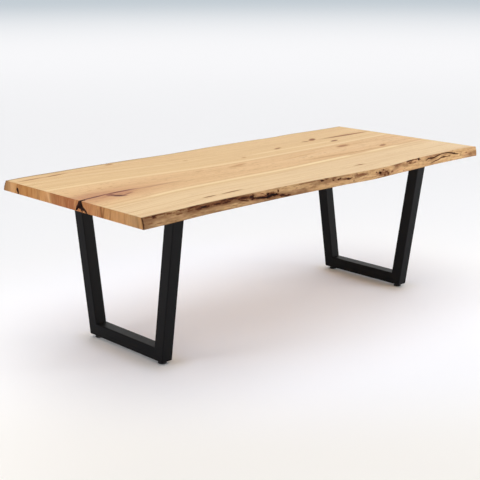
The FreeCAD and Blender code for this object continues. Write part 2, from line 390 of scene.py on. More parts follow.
# Each hollow: x, z, half length, half height, depth, darkness (dark bark and painted shade).
FRONT_HOLLOWS = (
    (-1131, 740, 2.5, 30, 0.3, 0.60), (-1072, 755, 14, 4.5, 1.5, 0.62),
    (-1062, 750, 10, 3.5, 1.2, 0.50), (-1105, 757, 20, 3.5, 0.8, 0.40),
    (-1040, 759, 32, 3, 0.8, 0.42), (-985, 752, 26, 3.5, 0.8, 0.40),
    (-925, 757, 30, 3.5, 0.9, 0.44), (-1095, 733, 20, 2.2, 0.5, 0.36),
    (-1050, 727, 26, 2.2, 0.6, 0.40), (-1090, 721, 14, 2.5, 0.5, 0.34),
    (-975, 722, 22, 2.5, 0.5, 0.32), (-935, 743, 24, 3, 0.5, 0.30), (-880, 746, 18, 3, 0.8, 0.42),
    (-860, 722, 24, 2.5, 0.6, 0.30), (-800, 751, 62, 8, 1.0, 0.34), (-690, 752, 70, 8, 1.0, 0.38),
    (-600, 754, 60, 7, 1.0, 0.34), (-480, 736, 40, 8, 1.6, 0.36), (-425, 735, 40, 9, 2.0, 0.44),
    (-395, 743, 26, 8, 1.4, 0.42), (-530, 743, 26, 9, 1.2, 0.40), (-345, 728, 40, 8, 1.0, 0.36),
    (-1000, 757, 30, 4, 0.6, 0.25), (-945, 748, 26, 6, 0.4, 0.22), (-875, 757, 15, 5, 1.2, 0.45),
    (-845, 759, 30, 4.5, 1.0, 0.50), (-825, 745, 18, 6, 1.8, 0.50), (-800, 749, 20, 4, 3.2, 0.88),
    (-775, 746, 18, 4, 2.2, 0.60), (-715, 748, 20, 3.5, 2.6, 0.78), (-680, 759, 20, 4, 1.6, 0.62),
    (-665, 746, 25, 4, 2.2, 0.66), (-630, 757, 30, 5, 1.4, 0.50), (-570, 749, 30, 6, 3.0, 0.62),
    (-515, 748, 14, 7, 3.2, 0.78), (-517, 736, 10, 3, 2.6, 0.76), (-420, 743, 6, 6, 3.0, 0.72),
    (-415, 731, 12, 7, 5.0, 0.90), (-390, 735, 18, 6, 7.0, 1.00), (-368, 736, 12, 4, 7.0, 1.00),
    (-355, 749, 5, 6, 2.4, 0.62), (-332, 726, 14, 5, 2.6, 0.72), (-302, 721, 24, 4.5, 2.4, 0.70),
    (-170, 758, 70, 4.5, 0.8, 0.36), (-80, 754, 12, 4.5, 3.6, 0.88), (-50, 758, 15, 4, 1.6, 0.50),
    (-5, 748, 9, 3.5, 2.2, 0.66), (0, 757, 20, 4, 1.2, 0.45), (30, 746, 12, 3.5, 2.6, 0.72),
    (43, 749, 8, 3, 2.2, 0.62), (75, 742, 30, 6, 1.0, 0.38), (97, 739, 13, 5, 3.2, 0.82),
    (175, 747, 56, 10, 1.2, 0.42), (128, 726, 6, 6, 0.8, 0.34), (314, 739, 6.5, 5, 14.0, 1.00),
    (322, 736, 46, 15, 1.4, 0.34), (281, 746, 6, 3, 1.6, 0.60), (376, 727, 7, 8, 1.8, 0.58),
    (347, 723, 8, 5, 1.6, 0.50), (362, 738, 10, 6, 1.4, 0.46), (335, 752, 6, 6, 1.2, 0.40),
    (405, 731, 12, 5, 1.2, 0.46), (455, 757, 42, 5, 0.8, 0.36), (505, 722, 5, 4, 0.8, 0.36),
    (560, 758, 26, 5.5, 1.2, 0.60), (592, 759, 30, 3, 1.0, 0.55), (632, 758, 20, 3, 1.2, 0.60),
    (570, 748, 20, 4, 1.2, 0.46), (610, 746, 15, 3, 1.0, 0.40), (655, 756, 13, 5, 3.2, 0.88),
    (760, 748, 22, 4, 2.0, 0.60), (800, 757, 30, 4, 1.0, 0.36), (855, 741, 18, 3, 1.6, 0.55),
    (948, 748, 12, 4, 3.0, 0.80), (1000, 736, 12, 6, 0.8, 0.28), (1050, 740, 12, 4, 0.8, 0.34),
    (1080, 730, 22, 8, 0.8, 0.30), (1128, 738, 4, 30, 0.4, 0.12),
)
# Each crack: half width, depth, darkness (dark wood and painted shade), then its points x, z.
FRONT_CRACKS = (
    (1.6, 3.0, 0.70, ((-590, 743), (-565, 738), (-540, 733))),
    (2.0, 6.0, 0.95, ((-508, 742), (-480, 735), (-450, 731), (-424, 729))),
    (1.1, 3.0, 0.55, ((-468, 752), (-452, 751), (-438, 746))),
    (1.4, 6.0, 0.85, ((705, 741), (735, 749), (765, 746), (800, 750), (830, 754), (855, 758))),
    (1.6, 6.5, 0.90, ((855, 758), (885, 758), (915, 755), (940, 750), (958, 746), (982, 741))),
    (1.1, 5.0, 0.75, ((745, 726), (775, 729), (810, 733), (830, 739), (860, 743), (885, 741), (915, 742))),
)
# How brown the edge is above and below its middle: x, upper share, lower share.
# Part of the lower shares is painted shade, where the edge rolls under away from the light.
FRONT_BROWN_AND_SHADE = (
    (-1132, 0.60, 0.55), (-1050, 0.48, 0.26), (-1000, 0.40, 0.40), (-950, 0.28, 0.36),
    (-900, 0.53, 0.34), (-850, 0.64, 0.40), (-750, 0.66, 0.38), (-650, 0.64, 0.28),
    (-550, 0.52, 0.30), (-500, 0.40, 0.40), (-450, 0.16, 0.55), (-400, 0.30, 0.60),
    (-350, 0.24, 0.55), (-300, 0.14, 0.60), (-250, 0.13, 0.42), (-200, 0.21, 0.54),
    (-150, 0.32, 0.30), (-100, 0.46, 0.16), (0, 0.36, 0.18), (50, 0.42, 0.14), (150, 0.16, 0.14),
    (225, 0.04, 0.12), (245, 0.00, 0.06), (270, 0.08, 0.10), (300, 0.30, 0.40), (370, 0.24, 0.50),
    (400, 0.22, 0.32), (450, 0.62, 0.16), (500, 0.34, 0.12), (550, 0.42, 0.16), (600, 0.10, 0.08),
    (650, 0.26, 0.08), (700, 0.21, 0.14), (750, 0.46, 0.28), (800, 0.26, 0.14), (900, 0.24, 0.02),
    (950, 0.27, 0.06), (1000, 0.06, 0.24), (1050, 0.00, 0.38), (1132, 0.14, 0.48),
)
print("front edge:", len(FRONT_HOLLOWS), "hollows and", len(FRONT_CRACKS), "cracks")

# %% [markdown]
# The rear edge is hidden in the picture but the same tree made it, so its hollows and cracks are
# drawn by lot. The seed is fixed, and each run gives the same edge.

# %% Hollows and cracks of the rear edge
REAR_SEED = 41
# The notch that shows over the top, and the two corners.
REAR_FIXED = (
    (-567, 757, 28, 6, 3.0, 0.80), (-1128, 738, 5, 30, 1.0, 0.70), (1128, 738, 5, 30, 0.6, 0.40),
)
# Hollows: the range of each measure. Where it has three numbers, the last is the likeliest.
REAR_HOLLOWS, REAR_DEPTH, REAR_SHADE = 46, 4.5, (0.25, 0.95, 0.40)
REAR_X, REAR_Z = (-1100, 1100), (718, 761, 753)
REAR_HALF_X, REAR_HALF_Z = (9, 42), (2.5, 6)
# Wide shallow patches: the ranges of x, z, half length, half height, depth, darkness.
REAR_PATCHES = 9
REAR_PATCH = ((-1050, 1050), (734, 756), (60, 110), (7, 11), (0.8, 1.2), (0.28, 0.42))
# Cracks: where they start, the ranges of their steps, their limits, then width, depth, darkness.
REAR_CRACK_X, REAR_CRACK_Z, REAR_CRACK_POINTS = (-880, -240, 430), (732, 748), 7
REAR_STEP_X, REAR_STEP_Z = (22, 40), (-6, 6)
REAR_CRACK_LOW, REAR_CRACK_HIGH = 720, 757
REAR_CRACK = (1.2, 4.5, 0.80)

lot = random.Random(REAR_SEED)
rear_hollows = list(REAR_FIXED)
for _ in range(REAR_HOLLOWS):
    shade = lot.triangular(*REAR_SHADE)
    spot = (lot.uniform(*REAR_X), lot.triangular(*REAR_Z))
    size = (lot.uniform(*REAR_HALF_X), lot.uniform(*REAR_HALF_Z))
    rear_hollows.append((*spot, *size, REAR_DEPTH * shade ** 2, shade))
for _ in range(REAR_PATCHES):
    rear_hollows.append(tuple(lot.uniform(*span) for span in REAR_PATCH))
rear_cracks = []
for start in REAR_CRACK_X:
    x, z, path = start, lot.uniform(*REAR_CRACK_Z), []
    for _ in range(REAR_CRACK_POINTS):
        path.append((x, z))
        x += lot.uniform(*REAR_STEP_X)
        z = min(REAR_CRACK_HIGH, max(REAR_CRACK_LOW, z + lot.uniform(*REAR_STEP_Z)))
    rear_cracks.append((*REAR_CRACK, tuple(path)))
print("rear edge:", len(rear_hollows), "hollows and", len(rear_cracks), "cracks")


# %% Noise and distances over an edge
grid_x, grid_z = np.meshgrid(stations, levels, indexing="ij")


def ripple(x_scale, z_scale, seed):
    """Smooth noise from -1 to 1 over the stations and levels of one edge."""
    rows = [[noise.noise((x * x_scale, z * z_scale, seed)) for z in levels] for x in stations]
    return np.array(rows)


def soft_step(value, start, stop):
    """The same soft step as fade, on plain numbers."""
    share = np.clip((value - start) / (stop - start), 0, 1)
    return share * share * (3 - 2 * share)


def path_distance(points, x, z):
    """How far each place of the grid lies from a path, and how far along it that is, 0 to 1."""
    nearest = np.full(x.shape, np.inf)
    passed = np.zeros(x.shape)
    for number, ((ax, az), (bx, bz)) in enumerate(zip(points, points[1:])):
        run = np.array((bx - ax, bz - az)) * MM
        share = np.clip(((x - ax * MM) * run[0] + (z - az * MM) * run[1]) / (run @ run), 0, 1)
        gap = np.hypot(x - ax * MM - share * run[0], z - az * MM - share * run[1])
        passed = np.where(gap < nearest, (number + share) / (len(points) - 1), passed)
        nearest = np.minimum(nearest, gap)
    return nearest, passed


# %% Turning the facts into relief
SWELL, RIDGE, GRIT = 1.5 * MM, 0.7 * MM, 0.25 * MM
WOBBLE_X, WOBBLE_Z = 5 * MM, 1.8 * MM
HOLLOW_RIM, CRACK_RIM = (0.50, 1.45), (0.7, 2.1)
CRACK_TIP_SHARE, CRACK_BELLY_SHARE = 0.55, 0.6
CRACK_RAGGED_WIDTH, CRACK_RAGGED_RIM = 0.6, 0.5
DARK_ROUGHER = 1.4


def live_relief(hollows, cracks, seed):
    """How far the edge is sunk at each station and level, and how dark it is there."""
    x = grid_x + WOBBLE_X * ripple(24, 70, seed + 0.3)
    z = grid_z + WOBBLE_Z * ripple(30, 60, seed + 5.7)
    ragged = 0.5 * ripple(90, 240, seed + 9.1) + 0.35 * ripple(210, 420, seed + 2.7)
    sunk = np.zeros(grid_x.shape)
    clear = np.ones(grid_x.shape)
    for hx, hz, half_x, half_z, deep, shade in hollows:
        reach = np.hypot((x - hx * MM) / (half_x * MM), (z - hz * MM) / (half_z * MM))
        inside = 1 - soft_step(reach + ragged, *HOLLOW_RIM)
        sunk = np.maximum(sunk, inside * deep * MM)
        clear *= 1 - shade * inside
    for half_width, deep, shade, points in cracks:
        gap, passed = path_distance(points, x, z)
        taper = CRACK_TIP_SHARE + CRACK_BELLY_SHARE * np.sin(math.pi * passed)
        width = half_width * MM * (taper * (1 + CRACK_RAGGED_WIDTH * ragged))
        inside = 1 - soft_step(gap / width + CRACK_RAGGED_RIM * ragged, *CRACK_RIM)
        sunk = np.maximum(sunk, inside * deep * MM)
        clear *= 1 - shade * inside
    dark = 1 - clear
    rough = 1 + DARK_ROUGHER * dark
    sunk += SWELL * ripple(5, 16, seed + 1.9) + RIDGE * rough * ripple(20, 130, seed + 3.3)
    sunk += GRIT * rough * ripple(110, 300, seed + 7.9)
    return sunk, dark


front_sunk, front_dark = live_relief(FRONT_HOLLOWS, FRONT_CRACKS, 0.0)
rear_sunk, rear_dark = live_relief(rear_hollows, rear_cracks, 20.0)
front_edge = front_edge + front_sunk
rear_edge = rear_edge - rear_sunk
print("deepest hollow", round(front_sunk.max() / MM, 1), "mm; front now from", front_edge.min().round(4))

# %% How brown and shaded the edges are
BROWN_AND_SHADE_WANDER = 14 * MM
BROWN_AND_SHADE_MIDDLE = (0.38, 0.66)
BROWN_AND_SHADE_MIDDLE_RAGGED, BROWN_AND_SHADE_RAGGED = 0.16, 0.12


def brown_and_shade_share(rows, seed):
    """How brown each place of the edge is, partly painted shade, with a ragged line between the two
    halves.
    """
    at, upper, lower = np.array(rows).T
    x = (grid_x + BROWN_AND_SHADE_WANDER * ripple(14, 40, seed + 2.2)) / MM
    rise = (grid_z - plank_low.z) / (plank_high.z - plank_low.z)
    above = soft_step(rise + BROWN_AND_SHADE_MIDDLE_RAGGED * ripple(16, 60, seed + 4.4), *BROWN_AND_SHADE_MIDDLE)
    share = np.interp(x, at, lower) * (1 - above) + np.interp(x, at, upper) * above
    return np.clip(share + BROWN_AND_SHADE_RAGGED * ripple(34, 110, seed + 6.6), 0, 1)


front_brown_and_shade = brown_and_shade_share(FRONT_BROWN_AND_SHADE, 30.0)
rear_brown_and_shade = brown_and_shade_share([(-at, upper, lower) for at, upper, lower in reversed(FRONT_BROWN_AND_SHADE)], 40.0)
print("brown share in front", front_brown_and_shade.mean().round(2), "and behind", rear_brown_and_shade.mean().round(2))

# %% [markdown]
# ## The plank's mesh
# A plank could be drawn vertex by vertex. Here a cube is cut into stations, strips and levels by
# `subdivide_edges`, each vertex is moved to the outline that was read above, and `bevel` eases the
# arrises as a sander would. Strips lie close together near the live edges, where the shape is.

# %% Plank from a subdivided cube
STRIP_SHARES = (0, 0.0045, 0.010, 0.02, 0.05, 0.16, 0.5, 0.84, 0.95, 0.98, 0.99, 0.9955, 1)
ARRIS = 1.8 * MM

counts = (station_count, len(STRIP_SHARES) - 1, LEVELS)
plank = bmesh.new()
bmesh.ops.create_cube(plank, size=1)
for axis, count in enumerate(counts):
    along = [e for e in plank.edges if abs(e.verts[0].co[axis] - e.verts[1].co[axis]) > 0.5]
    bmesh.ops.subdivide_edges(plank, edges=along, cuts=count - 1, use_grid_fill=True)

spots = {}
for v in plank.verts:
    i, j, k = (round((v.co[axis] + 0.5) * counts[axis]) for axis in range(3))
    spots[v] = tuple(n if n in (0, counts[axis]) else -1 for axis, n in enumerate((i, j, k)))
    share = STRIP_SHARES[j]
    v.co = (stations[i], (1 - share) * front_edge[i, k] + share * rear_edge[i, k], levels[k])


def is_arris(edge):
    """Both ends lie on the same two outer faces of the box."""
    pairs = zip(*(spots[v] for v in edge.verts))
    return sum(a == b and a >= 0 for a, b in pairs) >= 2


def ease(shape, edges, width):
    """Takes the sharpness off edges."""
    bmesh.ops.bevel(
        shape, geom=edges, offset=width, segments=2, profile=0.5, affect="EDGES", material=-1,
        clamp_overlap=True,
    )


arrises = [e for e in plank.edges if is_arris(e)]
ease(plank, arrises, ARRIS)
print("plank", len(plank.faces), "faces,", len(arrises), "arris edges eased")

# %% [markdown]
# Every finished piece is made in the same way: it shows its faces smooth up to a crease,
# rides on the CAD body that carries it, takes its finish, and hides the CAD nodes that it stands for.

# %% A finished piece
# The sharpest bend that still looks smooth, in degrees.
CREASE, FINE_CREASE = 40, 30
finishes = {}


def start_finish(name):
    """A new finish, kept by its name. Returns its shader node and the wire of the place."""
    material = bpy.data.materials.new(name)
    material.use_nodes = True
    finishes[name] = material
    place = Wire(material.node_tree).node("ShaderNodeTexCoord", output="Object")
    return material.node_tree.nodes["Principled BSDF"], place


def finish_piece(name, mesh, slot, body="root", replaces=(), crease=CREASE):
    """Makes the object, rides it on its CAD body and hides the CAD nodes that it stands for."""
    made = bpy.data.objects.new(name, mesh)
    scene.collection.objects.link(made)
    mesh.materials.append(finishes[slot])
    mesh.shade_smooth()
    mesh.set_sharp_from_angle(angle=math.radians(crease))
    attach(made, body)
    if replaces:
        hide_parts(*replaces)
    return made


wood_shader, wood_place = start_finish("slab_wood")
plank_mesh = as_mesh(plank, "live_edge_plank")
plank_piece = finish_piece("live_edge_plank", plank_mesh, "slab_wood", replaces=[PLANK])
print("plank as a piece:", plank_piece.name)

# %% [markdown]
# ## Splits in the plank
# The heart of the tree has split: an A-shaped gap shows in the left end and runs on as a crack
# along the top. Two short checks lie near the front edge, and a worm-eaten pocket is in the end.
# Each is a wedge, a cube cut into stations that follow the split and narrow with its depth, and a
# Boolean cuts it out of the plank, which gives real walls. Their dark finish is the wood's darker
# split faces with painted shade deep in the split.

# %% Wedges that cut
ABOVE = 4 * MM


def wedge(points, outward, deep, taper):
    """A cutter that follows points (place, half width) on a face and narrows with its depth."""
    solid = bmesh.new()
    bmesh.ops.create_cube(solid, size=1)
    lengthwise = [e for e in solid.edges if abs(e.verts[0].co.x - e.verts[1].co.x) > 0.5]
    bmesh.ops.subdivide_edges(solid, edges=lengthwise, cuts=len(points) - 2, use_grid_fill=True)
    places = [Vector(place) * MM for place, _ in points]
    last = len(places) - 1
    for v in solid.verts:
        n = round((v.co.x + 0.5) * last)
        run = places[min(n + 1, last)] - places[max(n - 1, 0)]
        aside = outward.cross(run).normalized() * points[n][1] * MM * math.copysign(1, v.co.y)
        if v.co.z > 0:
            v.co = places[n] + outward * ABOVE + aside
        else:
            v.co = places[n] - outward * deep * MM + aside * taper
    bmesh.ops.recalc_face_normals(solid, faces=solid.faces)
    bmesh.ops.triangulate(solid, faces=solid.faces)
    return as_mesh(solid, "wedge")


def cut_out(mesh_object, wedges, wall):
    """Cuts one set of wedges, which don't touch each other, out of a mesh with a Boolean."""
    cutter = bmesh.new()
    for shape in wedges:
        cutter.from_mesh(wedge(*shape))
    tool = bpy.data.objects.new("cutter", as_mesh(cutter, "cutter"))
    tool.data.materials.append(wall)
    scene.collection.objects.link(tool)
    boolean = mesh_object.modifiers.new("cut", "BOOLEAN")
    boolean.operation = "DIFFERENCE"
    boolean.solver = "EXACT"
    boolean.material_mode = "TRANSFER"
    boolean.object = tool
    bpy.context.view_layer.update()
    evaluated = mesh_object.evaluated_get(bpy.context.evaluated_depsgraph_get())
    cut_mesh = bpy.data.meshes.new_from_object(evaluated)
    mesh_object.modifiers.clear()
    mesh_object.data = cut_mesh
    bpy.data.objects.remove(tool)


# %% Dark walls for the splits, partly painted shade
def speckle(place, scales, detail=2.0, roughness=0.5):
    """Noise from 0 to 1. Each axis is scaled first, so that a round pattern becomes a streak."""
    inputs = {"Vector": place.vector_maths("MULTIPLY", scales), "Scale": 1.0}
    inputs.update({"Detail": detail, "Roughness": roughness})
    return place.node("ShaderNodeTexNoise", None, inputs)


def bump(height, strength, depth, shader):
    """Roughens the look of a surface by a height."""
    inputs = {"Height": height, "Strength": strength, "Distance": depth}
    plug(height.node("ShaderNodeBump", None, inputs), shader.inputs["Normal"])


split_shader, split_place = start_finish("split_wood")
# Painted shade in part: the near-black walls are the wood's darker split faces and the shade deep in the
# split.
split_speckle = speckle(split_place, (60, 160, 160), 4, 0.6)
plug(mix(split_speckle, tone(26, 11, 8), tone(86, 46, 32)), split_shader.inputs["Base Color"])
split_shader.inputs["Roughness"].default_value = 0.85
bump(split_speckle, 0.6, 0.0015, split_shader)
print("split walls", len(split_speckle.tree.nodes), "nodes")

# %% Splits, checks and the pocket, in millimetres
UP, LEFT = Vector((0, 0, 1)), Vector((-1, 0, 0))
TOP, END = plank_high.z / MM, plank_low.x / MM

# Each point on the top: x, y, half width.
HEART_CRACK = (
    (END - 6, -86, 2.4), (END + 30, -79, 2.0), (END + 75, -72, 1.8), (END + 120, -66, 1.8),
    (END + 165, -63, 2.0), (END + 200, -59, 2.2), (END + 235, -57, 1.4), (END + 270, -58, 0.2),
)
HEART_HOOK = (
    (END + 158, -78, 1.2), (END + 163, -92, 4.0), (END + 170, -108, 5.0), (END + 184, -122, 4.2),
    (END + 198, -131, 1.0),
)
FRONT_CHECK = (
    (-724, -405, 0.15), (-705, -404, 1.4), (-685, -402, 2.0), (-668, -401, 1.0), (-650, -400, 0.15),
)
FRONT_CHECK_LONG = (
    (-622, -402, 0.15), (-590, -401, 1.2), (-555, -399, 1.9), (-520, -397, 1.0), (-490, -394, 0.15),
)
# Each point on the left end: y, distance below the top, half width.
SPLIT_MOUTH = ((-93, -6, 5.0), (-89, 7, 15.0), (-89, 17, 20.0), (-88, 26, 26.0), (-86, 35, 30.0))
SPLIT_LEGS = (
    ((-74, 24, 6.0), (-67, 33, 7.5), (-60, 40, 6.0), (-55, 45, 2.0)),
    ((-92, 30, 5.0), (-98, 38, 5.5), (-104, 46, 3.0)),
    ((-110, 26, 5.0), (-119, 34, 6.5), (-129, 41, 6.0), (-138, 49, 3.0)),
)
END_POCKET = ((400, 18, 3.0), (397, 25, 9.5), (392, 34, 9.0), (387, 47, 4.0))


def on_top(rows, deep, taper):
    """A cut that starts on the top: its depth, and the share of its width at the bottom."""
    return [((x, y, TOP), half) for x, y, half in rows], UP, deep, taper


def on_end(rows, deep, taper):
    """The same for a cut that starts on the left end."""
    return [((END, y, TOP - down), half) for y, down, half in rows], LEFT, deep, taper


CUT_SETS = (
    (
        on_top(HEART_CRACK, 6, 0.3), on_top(FRONT_CHECK, 3, 0.4), on_top(FRONT_CHECK_LONG, 3, 0.4),
        on_end(END_POCKET, 12, 0.5),
    ),
    (on_end(SPLIT_MOUTH, 26, 0.45), on_top(HEART_HOOK, 2.5, 0.6)),
    [on_end(leg, 16, 0.4) for leg in SPLIT_LEGS],
)
for cuts in CUT_SETS:
    cut_out(plank_piece, cuts, finishes["split_wood"])
plank_piece.data.name = "live_edge_plank"
plank_piece.data.set_sharp_from_angle(angle=math.radians(CREASE))
print("plank after cutting:", len(plank_piece.data.polygons), "faces")

# %% [markdown]
# The wood's finish has to know where the live edges are and where they are dark. Noise alone
# can't follow the modelled hollows, so each vertex takes four numbers from the grids above, and
# the finish reads them as attributes.

# %% Where the live edge is, and how dark
LIVE_REACH = 4 * MM
RIM_REACH = 30 * MM
RIM_SHARES = ((-1.1325, 1.0), (-0.6, 0.9), (-0.2, 0.75), (0.4, 0.65), (1.1325, 0.7))


def nearest_row(values, low, high, last):
    """The number of the station or level next to each value."""
    return np.clip(np.rint((values - low) / (high - low) * last), 0, last).astype(int)


points = np.zeros(len(plank_piece.data.vertices) * 3)
plank_piece.data.vertices.foreach_get("co", points)
points_x, points_y, points_z = points.reshape(-1, 3).T
here = (
    nearest_row(points_x, plank_low.x, plank_high.x, station_count),
    nearest_row(points_z, plank_low.z, plank_high.z, LEVELS),
)
front_gap = np.abs(points_y - front_edge[here])
rear_gap = np.abs(points_y - rear_edge[here])
nearer_front = front_gap < rear_gap
live = np.clip(1 - np.minimum(front_gap, rear_gap) / LIVE_REACH, 0, 1)
marks = {
    "live": live,
    "dark": live * np.where(nearer_front, front_dark[here], rear_dark[here]),
    # Brown, and on the lower half partly painted shade.
    "brown": np.where(nearer_front, front_brown_and_shade[here], rear_brown_and_shade[here]),
    "rim": np.clip(1 - rear_gap / RIM_REACH, 0, 1) * np.interp(points_x, *np.array(RIM_SHARES).T),
}
for name, values in marks.items():
    layer = plank_piece.data.attributes.new(name, "FLOAT", "POINT")
    layer.data.foreach_set("value", values.astype(np.float32))
print("live edge points", int((live > 0.5).sum()))

# %% [markdown]
# ## The wood
# A photograph wrapped round the plank would stretch over its edges. A solid wood is worked out in
# space instead, so that the top, the ends and the edges agree: growth rings lie around the heart of
# the tree, the pale sapwood starts at a line on each side of it, and fibres run along the plank.

# %% Heart and sapwood lines
HALF = plank_length / 2
WANDER = 0.03
# Each line: points x, y.
HEART_LINE = (
    (-1.1325, -0.086), (-0.85, -0.062), (-0.4, -0.06), (0.2, -0.04), (0.7, -0.01), (1.1325, 0.01),
)
FRONT_SAP_LINE = (
    (-1.1325, -0.250), (-0.88, -0.228), (-0.73, -0.210), (-0.42, -0.205), (-0.1, -0.206),
    (0.33, -0.188), (0.86, -0.166), (1.1325, -0.152),
)
REAR_SAP_LINE = (
    (-1.1325, 0.177), (-0.8, 0.160), (-0.57, 0.135), (-0.27, 0.100), (-0.05, 0.088),
    (0.3, 0.085), (0.8, 0.10), (1.1325, 0.115),
)

x, y, z = split_axes(wood_place)
along = (x + HALF) / plank_length


def along_curve(points):
    """A value from 0 to 1 that changes along the plank."""
    curve = [((px + HALF) / plank_length, share) for px, share in points]
    return along.node("ShaderNodeFloatCurve", {"curve": curve}, {"Value": along})


def wood_line(points):
    """The y of a line that wanders along the plank."""
    return along_curve([(px, py + 0.5) for px, py in points]) - 0.5


wander = (speckle(wood_place, (1.1, 4.5, 4.5), 1) - 0.5) * WANDER
heart = wood_line(HEART_LINE)
from_heart = y + wander - heart
behind = fade(from_heart, -0.02, 0.02)
front_width = heart - wood_line(FRONT_SAP_LINE)
rear_width = wood_line(REAR_SAP_LINE) - heart
sap_width = front_width + behind * (rear_width - front_width)
height = z - plank_middle
from_pith = distance(from_heart, height)
ring = from_pith - sap_width
print("lines of", len(HEART_LINE), len(FRONT_SAP_LINE), len(REAR_SAP_LINE), "points")

# %% Rings, streaks and fibres
RINGS_PER_METRE, RING_WAVER = 260, 2.4

# Each noise: its scales along the plank, across the rings and in height, then detail and roughness.
ring_place = x.node("ShaderNodeCombineXYZ", None, {"X": x, "Y": ring, "Z": height})
broad = speckle(ring_place, (0.45, 46, 3), 3, 0.55)
band = speckle(ring_place, (0.9, 105, 8), 2, 0.55)
streak = speckle(ring_place, (2.2, 230, 30), 3, 0.6)
fibre = speckle(ring_place, (9, 800, 500), 3, 0.6)
waver = speckle(ring_place, (1.2, 20, 10), 2) * RING_WAVER
year = (ring * RINGS_PER_METRE + waver).maths("FRACT")
late = fade(year, 0.55, 0.95) * fade(year, 1.0, 0.97)
pore = fade(speckle(ring_place, (46, 1900, 1500), 1), 0.62, 0.72) * fade(year, 0.55, 0.15)
fleck = fade(speckle(ring_place, (13, 95, 60), 2, 0.6), 0.58, 0.74)
dash = fade(speckle(ring_place, (44, 120, 60), 2, 0.6), 0.60, 0.74)
vein = fade(speckle(ring_place, (1.5, 64, 5), 4, 0.62), 0.55, 0.70)
print("grain with", RINGS_PER_METRE, "rings to the metre")


# %% Tones of heartwood and sapwood
def layered(colour, layers):
    """Lays screen colours over a colour, one after the other, each with its own share."""
    for share, over in layers:
        colour = mix(share, colour, tone(*over))
    return colour


heartwood = fade(ring, 0.014, -0.016)
redness = fade(from_pith, 0.15, 0.02) * fade(x, -0.45, -1.05)
front_side = fade(from_heart, -0.12, -0.27)
sapwood = mix(front_side, tone(239, 203, 150), tone(244, 213, 166))

# Each layer: where it shows times its strength, and its colour.
wood = layered(sapwood, (
    (heartwood, (239, 198, 145)),
    (redness * 0.85, (211, 151, 107)),
    (fade(broad, 0.50, 0.78) * 0.42, (204, 148, 92)),
    (fade(broad, 0.48, 0.24) * 0.40, (246, 215, 165)),
    (fade(band, 0.52, 0.80) * 0.42, (204, 148, 92)),
    (fade(band, 0.46, 0.22) * 0.36, (248, 218, 170)),
    (fade(streak, 0.48, 0.80) * 0.42, (196, 140, 86)),
    (fade(streak, 0.44, 0.20) * 0.24, (250, 222, 176)),
    (late * 0.20, (190, 134, 84)),
    (fade(fibre, 0.50, 0.75) * 0.18, (182, 130, 82)),
    (pore * 0.40, (140, 94, 56)),
    (vein * 0.30, (198, 142, 88)),
    (fleck * (0.16 + 0.26 * heartwood), (176, 122, 76)),
    (dash * (0.06 + 0.40 * heartwood), (178, 120, 76)),
))
print("wood tones", len(wood.tree.nodes), "nodes so far")

# %% Pale and dark lines at the sapwood border
PALE_REAR = 0.56
# How strong the pale line is on the front side: x, strength.
PALE_FRONT = (
    (-1.1325, 0.22), (-0.90, 0.26), (-0.82, 0.78), (-0.40, 0.74), (0.05, 0.80), (0.18, 1.00), (0.42, 0.96),
    (0.50, 0.28), (0.60, 0.42), (0.70, 0.86), (0.82, 0.86), (0.90, 0.26), (1.1325, 0.26),
)


def line_at(gap, half_width):
    """A soft line where the gap is 0."""
    return (gap * gap * (-1 / (2 * half_width ** 2))).maths("EXPONENT")


pale_front = along_curve(PALE_FRONT)
pale = pale_front + behind * (PALE_REAR - pale_front)
second = line_at(y - 0.176 + wander, 0.007) * fade(x, 0.02, 0.2) * fade(x, 0.80, 0.62)
wood = layered(wood, (
    (line_at(ring + 0.017, 0.006) * 0.32 * (1 - 0.5 * behind), (196, 140, 90)),
    (line_at(ring - 0.026, 0.008) * 0.22 * (1 - behind), (206, 154, 102)),
    (line_at(ring, 0.010) * pale * fade(band + broad, 0.62, 0.95), (255, 228, 178)),
    (second * 0.60, (252, 222, 172)),
))
print("pale line of", len(PALE_FRONT), "points")

# %% [markdown]
# Knots and stains sit where the picture shows them. Each is an ellipse whose rim is broken by the
# grain: a warm halo first, and a dark core in the stronger ones. They grow weaker through the
# plank, to less than half on the underside.

# %% Knots and stains on the top
# The halo's strength for a stain of 1, the least stain with a core, and what its core lacks.
STAIN_HALO, STAIN_CORE, STAIN_CORE_LESS = 1.35, 0.45, 0.3
